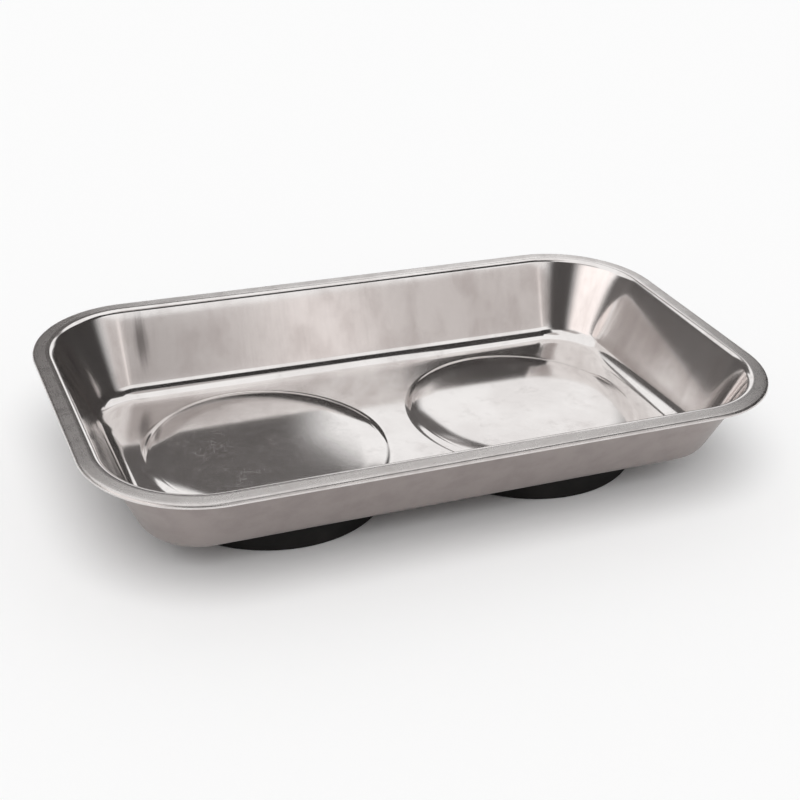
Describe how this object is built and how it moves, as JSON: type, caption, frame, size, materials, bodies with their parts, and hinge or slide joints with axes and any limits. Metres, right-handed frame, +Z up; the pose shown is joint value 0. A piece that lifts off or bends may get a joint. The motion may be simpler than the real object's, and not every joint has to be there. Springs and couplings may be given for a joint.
{
  "type": "magnetic parts tray",
  "caption": "Low rectangular pan of drawn stainless sheet with a flat rim and round raised seats, standing on rubber covered ring magnets.",
  "frame": {"origin": "centre of the tray in plan, on the bench under the rubber covers", "axes": "+X along the long side, +Z up out of the well"},
  "size_m": [0.24, 0.143, 0.0425],
  "materials": {
    "pan": "satin, drawn and polished stainless sheet",
    "rubber": "matt black moulded rubber",
    "ferrite": "dark grey sintered ferrite",
    "zinc": "bright zinc plate",
    "stud": "plain stainless, as welded",
    "spring": "spring steel, zinc plated"
  },
  "bodies": {
    "root": {"tray_pan": "pan", "left_weld_stud": "stud", "left_ring_magnet": "ferrite", "left_rubber_cover": "rubber", "left_flat_washer": "zinc", "left_spring_washer": "spring", "left_hex_nut": "zinc", "right_weld_stud": "stud", "right_ring_magnet": "ferrite", "right_rubber_cover": "rubber", "right_flat_washer": "zinc", "right_spring_washer": "spring", "right_hex_nut": "zinc"}
  },
  "joints": []
}
